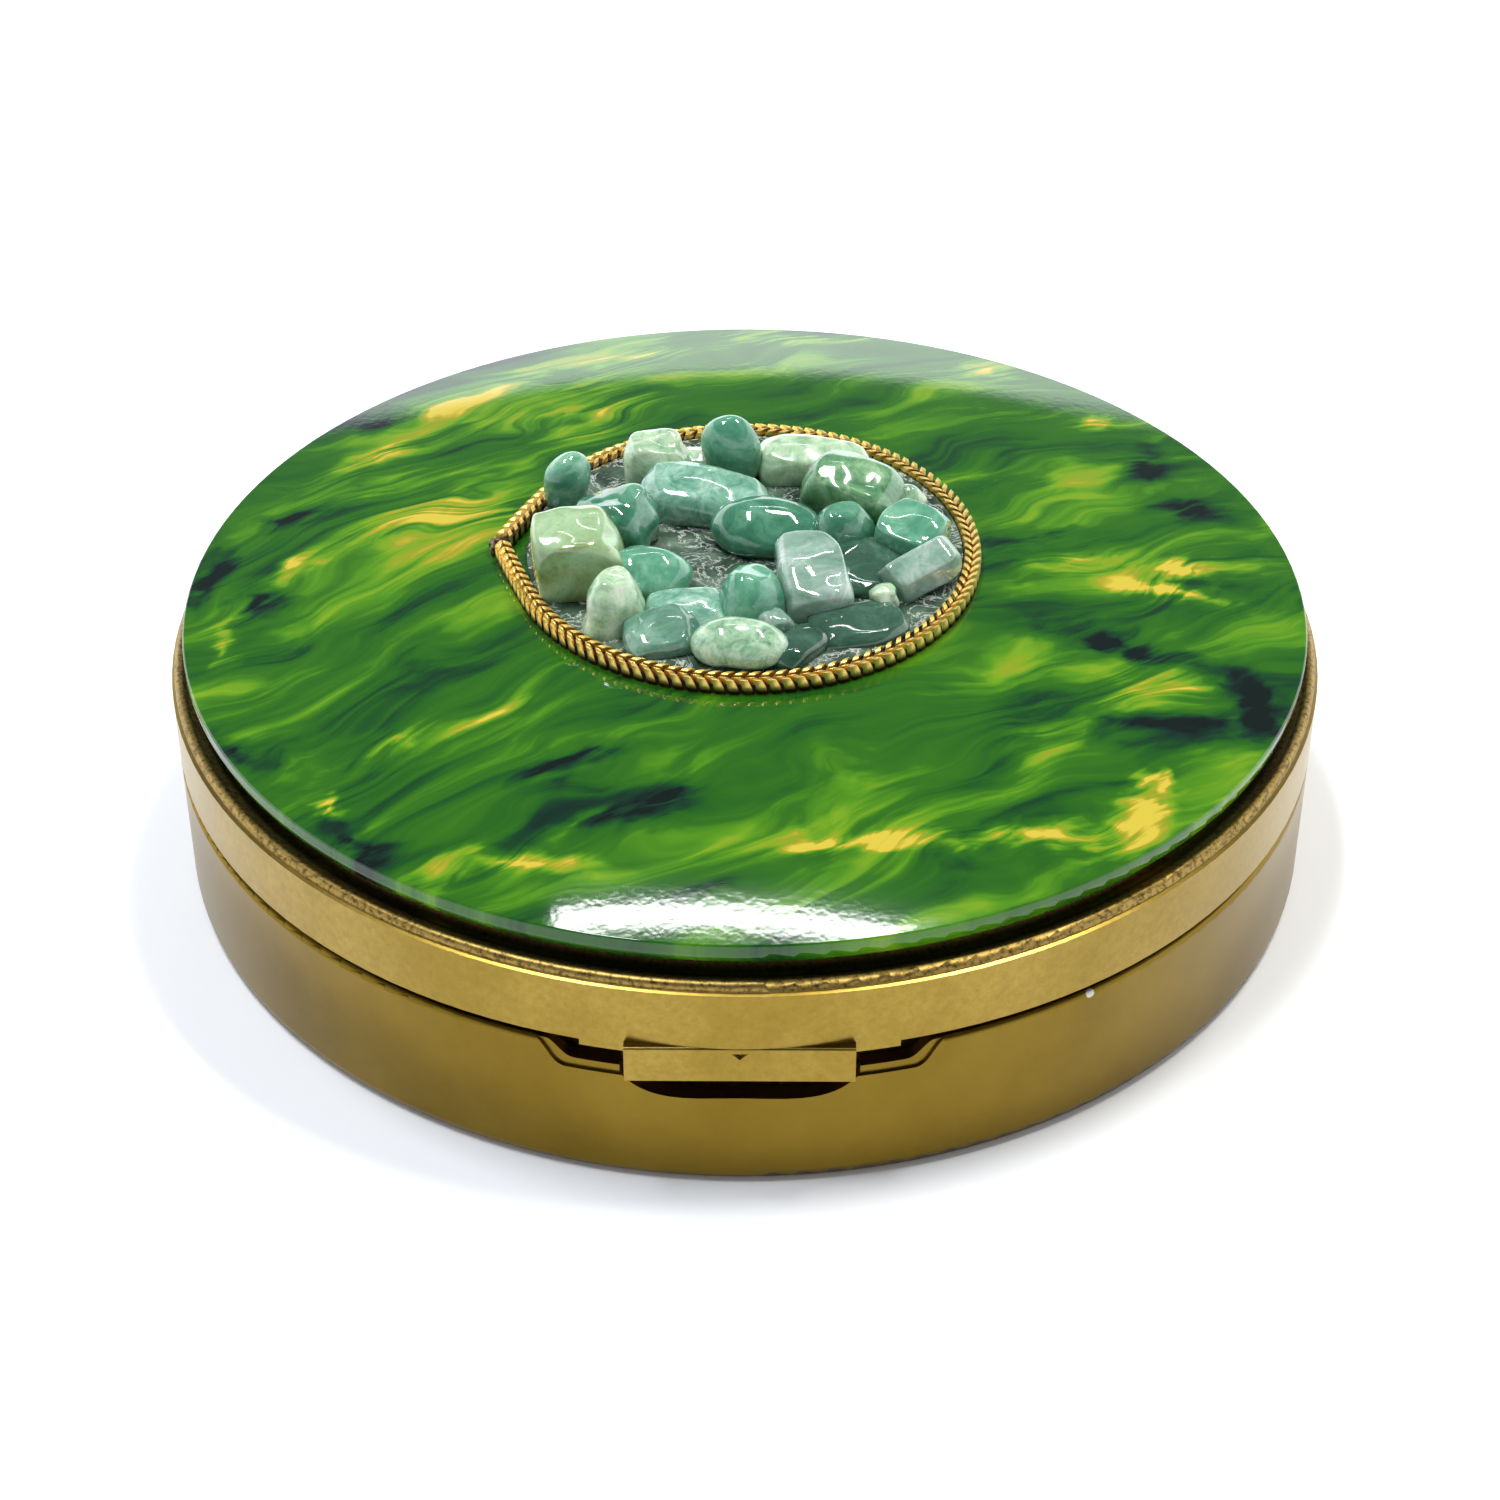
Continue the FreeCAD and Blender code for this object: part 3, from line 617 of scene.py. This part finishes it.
def makeBed():
    clearSelection()
    depth = bedSetup["top"] - bedSetup["foot"]
    bpy.ops.mesh.primitive_cylinder_add(
        vertices=96, radius=bedSetup["radius"], depth=depth, location=(0, 0, 0))
    bed = bpy.context.object
    bed.scale = (1, bedSetup["stretch"], 1)
    bpy.ops.object.transform_apply(location=False, rotation=False, scale=True)
    bpy.ops.object.mode_set(mode="EDIT")
    pickFaces(bed, lambda center, normal: normal.z > 0.9)
    for ring in range(bedSetup["rings"]):
        bpy.ops.mesh.inset(thickness=bedSetup["radius"] / (bedSetup["rings"] + 1))
    bpy.ops.object.mode_set(mode="OBJECT")
    top = bed.vertex_groups.new(name="top")
    edge = bedSetup["radius"] * 0.99
    top.add([v.index for v in bed.data.vertices if v.co.z > 0 and v.co.xy.length < edge], 1, "REPLACE")
    lumps = bpy.data.textures.new("bedLumps", "CLOUDS")
    lumps.noise_scale = 1.4
    applyModifier(bed, "DISPLACE", {
        "texture": lumps, "strength": 2 * bedSetup["lumpMm"], "mid_level": 0.5, "direction": "Z",
        "vertex_group": "top"})
    settle(bed, (bedSetup["centre"][0], bedSetup["centre"][1], bedSetup["foot"] + depth / 2))
    bed.name = "medallionBed"
    makeActive(bed)
    bpy.ops.object.shade_smooth_by_angle(angle=math.radians(50))
    # Clear epoxy over stone dust: glossy, grey-brown below, with torn white wisps and glitter
    material = newMaterial("glittery casting resin")
    tree = material.node_tree
    where = addNode(tree, "ShaderNodeTexCoord").outputs["Object"]
    dust = addNode(tree, "ShaderNodeTexNoise", {}, {"Vector": where, "Scale": 1000 / 1.5, "Detail": 6})
    tone = addNode(tree, "ShaderNodeValToRGB", {"stops": list(zip((0.36, 0.52, 0.68), bedSetup["dusts"]))}, {
        0: dust.outputs["Fac"]})
    veil = addNode(tree, "ShaderNodeTexNoise", {}, {
        "Vector": where, "Scale": 1000 / bedSetup["wispMm"], "Detail": 5, "Roughness": 0.65, "Distortion": 1.2})
    line = addNode(tree, "ShaderNodeMath", {"operation": "SUBTRACT"}, {0: veil.outputs["Fac"], 1: 0.5})
    near = addNode(tree, "ShaderNodeMath", {"operation": "ABSOLUTE"}, {0: line.outputs[0]})
    wisp = addNode(tree, "ShaderNodeMapRange", {}, {
        "Value": near.outputs[0], "From Min": 0.0, "From Max": 0.022, "To Min": 0.65, "To Max": 0.0})
    color = addNode(tree, "ShaderNodeMixRGB", {}, {
        "Fac": wisp.outputs[0], "Color1": tone.outputs[0], "Color2": linear(bedSetup["wisp"])}).outputs[0]
    grit = addNode(tree, "ShaderNodeTexNoise", {}, {
        "Vector": where, "Scale": 1000 / bedSetup["gritMm"], "Detail": 2})
    bump = addNode(tree, "ShaderNodeBump", {}, {
        "Height": grit.outputs["Fac"], "Strength": 0.6, "Distance": 0.05 * mm})
    shader = addNode(tree, "ShaderNodeBsdfPrincipled", {}, {
        "Base Color": color, "Roughness": 0.16, "IOR": 1.5, "Normal": bump.outputs[0]})
    addNode(tree, "ShaderNodeOutputMaterial", {}, {"Surface": shader.outputs[0]})
    bed.data.materials.append(material)
    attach(bed, "lid")
    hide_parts("medallion_bed")


makeBed()
print("the resin bed is poured")


# Tumbled stone chips. Each chip: form, place x, y and foot z (mm), size, turn about x, y and z
# (degrees), and finish.

stoneFinish = {
    "oliveJade": {"colors": ["#76854A", "#94B284", "#B2CDA6"], "veinMm": 2.8, "clear": 0.03, "rough": 0.12,
                  "slot": "pale_jade"},
    "mossJade": {"colors": ["#5C8462", "#9CC09E", "#CBDCC0"], "veinMm": 0.9, "clear": 0.05, "rough": 0.12,
                 "slot": "pale_jade"},
    "mossRock": {"colors": ["#3E6E48", "#66966A", "#A4C49A"], "veinMm": 1.1, "clear": 0.05, "rough": 0.12,
                 "slot": "pale_jade"},
    "whiteJade": {"colors": ["#7FA680", "#B0CCA8", "#D8E4CE"], "veinMm": 0.9, "clear": 0.05, "rough": 0.15,
                  "slot": "pale_jade"},
    "teal": {"colors": ["#44866A", "#64A484", "#92C4A6"], "veinMm": 1.6, "clear": 0.12, "rough": 0.07,
             "slot": "teal_aventurine"},
    "darkTeal": {"colors": ["#2E684E", "#468466", "#6CA486"], "veinMm": 1.8, "clear": 0.12, "rough": 0.06,
                 "slot": "teal_aventurine"},
    "streakyTeal": {"colors": ["#4E8C74", "#86B49C", "#C2DCCA"], "veinMm": 1.0, "clear": 0.08, "rough": 0.09,
                    "slot": "teal_aventurine"},
    "greyTeal": {"colors": ["#446E5A", "#628E76", "#8CB29C"], "veinMm": 2.0, "clear": 0.12, "rough": 0.10,
                 "slot": "teal_aventurine"},
    "smokyTeal": {"colors": ["#284838", "#3A604C", "#587C66"], "veinMm": 2.0, "clear": 0.15, "rough": 0.08,
                  "slot": "teal_aventurine"},
    "clearQuartz": {"colors": ["#7AA48C", "#A2C2B0", "#D4E4DA"], "veinMm": 1.4, "clear": 0.35, "rough": 0.05,
                    "slot": "clear_quartz"},
}

stoneSetup = {
    "stone_pale_block": ("block", (-7.22, -2.4, 13.45), (3.65, 3.2, 3.3), (6, -3, 6), "oliveJade"),
    "stone_standing_oval": ("pebble", (-8.0, 4.0, 13.4), (2.0, 1.7, 3.0), (8, 10, 15), "teal"),
    "stone_ridged_teal": ("rock", (-5.5, 0.9, 13.4), (3.2, 3.0, 2.7), (-5, -20, -25), "darkTeal"),
    "stone_smooth_oval": ("pebble", (-4.2, -3.0, 13.5), (3.6, 2.8, 2.0), (14, 0, -8), "teal"),
    "stone_mossy_wedge": ("wedge", (-5.52, -5.7, 13.3), (3.1, 2.7, 2.9), (0, 0, 35), "whiteJade"),
    "stone_grey_slab": ("slab", (-3.5, -6.95, 13.35), (3.0, 2.6, 1.3), (10, -8, 15), "greyTeal"),
    "stone_mossy_oval": ("pebble", (-0.2, -8.1, 13.35), (3.8, 2.5, 1.9), (8, 0, -6), "mossJade"),
    "stone_flat_teal": ("slab", (-2.4, -5.2, 13.45), (3.4, 2.7, 1.2), (6, 0, 10), "streakyTeal"),
    "stone_teal_dome": ("wedge", (0.3, -4.6, 13.3), (3.6, 3.4, 2.3), (-4, 8, 40), "teal"),
    "stone_large_oval": ("pebble", (0.9, 0.9, 13.55), (4.6, 3.3, 1.9), (18, 0, -5), "darkTeal"),
    "stone_long_streaky": ("rock", (-1.7, 3.6, 13.35), (5.8, 3.1, 1.9), (8, 4, -12), "streakyTeal"),
    "stone_white_green": ("rock", (-4.1, 6.6, 13.4), (2.8, 2.4, 2.3), (4, 0, 12), "whiteJade"),
    "stone_small_white": ("rock", (-2.3, 7.2, 13.4), (2.0, 1.5, 1.2), (0, 0, -10), "whiteJade"),
    "stone_upright_teal": ("pebble", (-0.6, 6.6, 13.3), (2.5, 1.8, 3.5), (4, -16, -15), "teal"),
    "stone_pale_long": ("rock", (3.1, 6.9, 13.35), (5.0, 2.6, 1.8), (8, 4, -4), "whiteJade"),
    "stone_mossy_rock": ("rock", (4.8, 3.8, 13.35), (4.2, 3.2, 2.5), (6, 10, -18), "mossRock"),
    "stone_small_pale": ("pebble", (7.2, 4.0, 13.4), (1.9, 1.5, 1.3), (0, 0, 0), "mossJade"),
    "stone_two_tone": ("block", (7.4, 0.5, 13.4), (2.9, 2.6, 1.9), (12, 6, -25), "teal"),
    "stone_dark_triangle": ("wedge", (4.3, 1.0, 13.4), (3.4, 2.8, 2.0), (0, 0, 20), "darkTeal"),
    "stone_clear_block": ("block", (2.9, -3.4, 13.5), (2.8, 4.2, 2.1), (14, 0, 12), "clearQuartz"),
    "stone_clear_crystal": ("crystal", (7.6, -2.7, 13.5), (3.7, 2.1, 2.1), (8, -12, 32), "clearQuartz"),
    "stone_dark_flat": ("slab", (5.2, -1.4, 13.35), (3.2, 3.9, 1.0), (4, 0, 0), "smokyTeal"),
    "stone_front_flat": ("slab", (4.85, -5.95, 13.3), (4.0, 2.9, 1.0), (4, 0, 16), "smokyTeal"),
    "stone_crumb_right": ("rock", (6.0, -4.3, 13.7), (1.1, 1.0, 1.0), (0, 0, 25), "whiteJade"),
    "stone_crumb_front": ("rock", (1.4, -6.4, 13.5), (1.2, 1.4, 1.2), (0, 0, 40), "clearQuartz"),
    "stone_front_sliver": ("slab", (2.3, -7.6, 13.3), (3.0, 1.8, 1.0), (0, 0, 52), "smokyTeal"),
}

# how each form is cut and softened: corner cuts, how deep, how far it is rounded towards a ball,
# rounds of smoothing, unevenness
stoneForms = {
    "block": {"cuts": 6, "deep": 0.84, "round": 0.28, "smooth": 14, "uneven": 0.12},
    "rock": {"cuts": 8, "deep": 0.78, "round": 0.45, "smooth": 10, "uneven": 0.22},
    "slab": {"cuts": 7, "deep": 0.78, "round": 0.45, "smooth": 8, "uneven": 0.18},
    "wedge": {"cuts": 4, "deep": 0.84, "round": 0.30, "smooth": 10, "uneven": 0.16},
    "pebble": {"cuts": 4, "deep": 0.86, "round": 0.20, "smooth": 10, "uneven": 0.20},
    "crystal": {"cuts": 6, "deep": 0.76, "round": 0.10, "smooth": 4, "uneven": 0.05},
}


def makeStoneMaterial(name, finish):
    # Tumbled quartz and jade: a wet polish over cloudy, veined stone that lets a little light through
    material = newMaterial(name)
    tree = material.node_tree
    where = addNode(tree, "ShaderNodeTexCoord").outputs["Object"]
    clouds = addNode(tree, "ShaderNodeTexNoise", {}, {
        "Vector": where, "Scale": 1000 / finish["veinMm"], "Detail": 6, "Roughness": 0.7, "Distortion": 0.6})
    tone = addNode(tree, "ShaderNodeValToRGB", {"stops": list(zip((0.34, 0.52, 0.70), finish["colors"]))}, {
        0: clouds.outputs["Fac"]})
    flecks = addNode(tree, "ShaderNodeTexNoise", {}, {"Vector": where, "Scale": 1000 / 0.22, "Detail": 2})
    fleckMask = addNode(tree, "ShaderNodeMapRange", {}, {
        "Value": flecks.outputs["Fac"], "From Min": 0.60, "From Max": 0.74, "To Max": 0.45}).outputs[0]
    color = addNode(tree, "ShaderNodeMixRGB", {}, {
        "Fac": fleckMask, "Color1": tone.outputs[0], "Color2": linear(finish["colors"][0])}).outputs[0]
    bump = addNode(tree, "ShaderNodeBump", {}, {
        "Height": clouds.outputs["Fac"], "Strength": 0.08, "Distance": 0.05 * mm})
    shader = addNode(tree, "ShaderNodeBsdfPrincipled", {}, {
        "Base Color": color, "Roughness": finish["rough"], "IOR": 1.54, "Normal": bump.outputs[0],
        "Transmission Weight": finish["clear"], "Subsurface Weight": 0.35, "Subsurface Scale": 1.0 * mm,
        "Coat Weight": 0.6, "Coat Roughness": 0.03})
    addNode(tree, "ShaderNodeOutputMaterial", {}, {"Surface": shader.outputs[0]})
    return material


def startForm(form):
    if form == "pebble":
        bpy.ops.mesh.primitive_ico_sphere_add(subdivisions=4, radius=0.54)
    elif form == "wedge":
        bpy.ops.mesh.primitive_cone_add(vertices=7, radius1=0.56, radius2=0.26, depth=1)
    elif form == "crystal":
        bpy.ops.mesh.primitive_cylinder_add(vertices=5, radius=0.52, depth=1, rotation=(0, math.pi / 2, 0))
    else:
        bpy.ops.mesh.primitive_cube_add(size=1)


def makeStone(index, name, form, place, size, turn):
    recipe = stoneForms[form]
    dice = random.Random(40 + index)
    clearSelection()
    startForm(form)
    stone = bpy.context.object
    bpy.ops.object.transform_apply(location=False, rotation=True, scale=False)
    bpy.ops.object.mode_set(mode="EDIT")
    for cut in range(recipe["cuts"]):
        around = 2 * math.pi * (cut + dice.uniform(-0.3, 0.3)) / recipe["cuts"]
        lift = dice.uniform(-0.15, 0.75)
        normal = Vector((math.cos(around), math.sin(around), lift)).normalized()
        reach = sum(abs(part) for part in normal) * 0.5 * recipe["deep"] * dice.uniform(0.92, 1.05)
        bpy.ops.mesh.select_all(action="SELECT")
        bpy.ops.mesh.bisect(plane_co=normal * reach, plane_no=normal, use_fill=True, clear_outer=True)
    bpy.ops.object.mode_set(mode="OBJECT")
    applyModifier(stone, "REMESH", {"mode": "VOXEL", "voxel_size": 0.045})
    applyModifier(stone, "CAST", {"cast_type": "SPHERE", "factor": recipe["round"]})
    stone.scale = size
    bpy.ops.object.transform_apply(location=False, rotation=False, scale=True)
    applyModifier(stone, "SMOOTH", {"factor": 0.6, "iterations": recipe["smooth"]})
    lumps = bpy.data.textures.new(name + "Lumps", "CLOUDS")
    lumps.noise_scale = 0.45 * max(size)
    lumps.noise_depth = 0
    applyModifier(stone, "DISPLACE", {
        "texture": lumps, "strength": recipe["uneven"] * min(size), "mid_level": 0.5})
    settle(stone, (place[0], place[1], place[2] + size[2] / 2), turn)
    return stone


def makeStones():
    finishes = {key: makeStoneMaterial("tumbled " + key, value) for key, value in stoneFinish.items()}
    for index, (name, (form, place, size, turn, finish)) in enumerate(stoneSetup.items()):
        stone = makeStone(index, name, form, place, size, turn)
        nameAndSmooth(stone, name.replace("stone_", "chip_"))
        stone.data.materials.append(finishes[finish])
        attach(stone, "lid")
        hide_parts(name)


makeStones()
print("the chips are set")
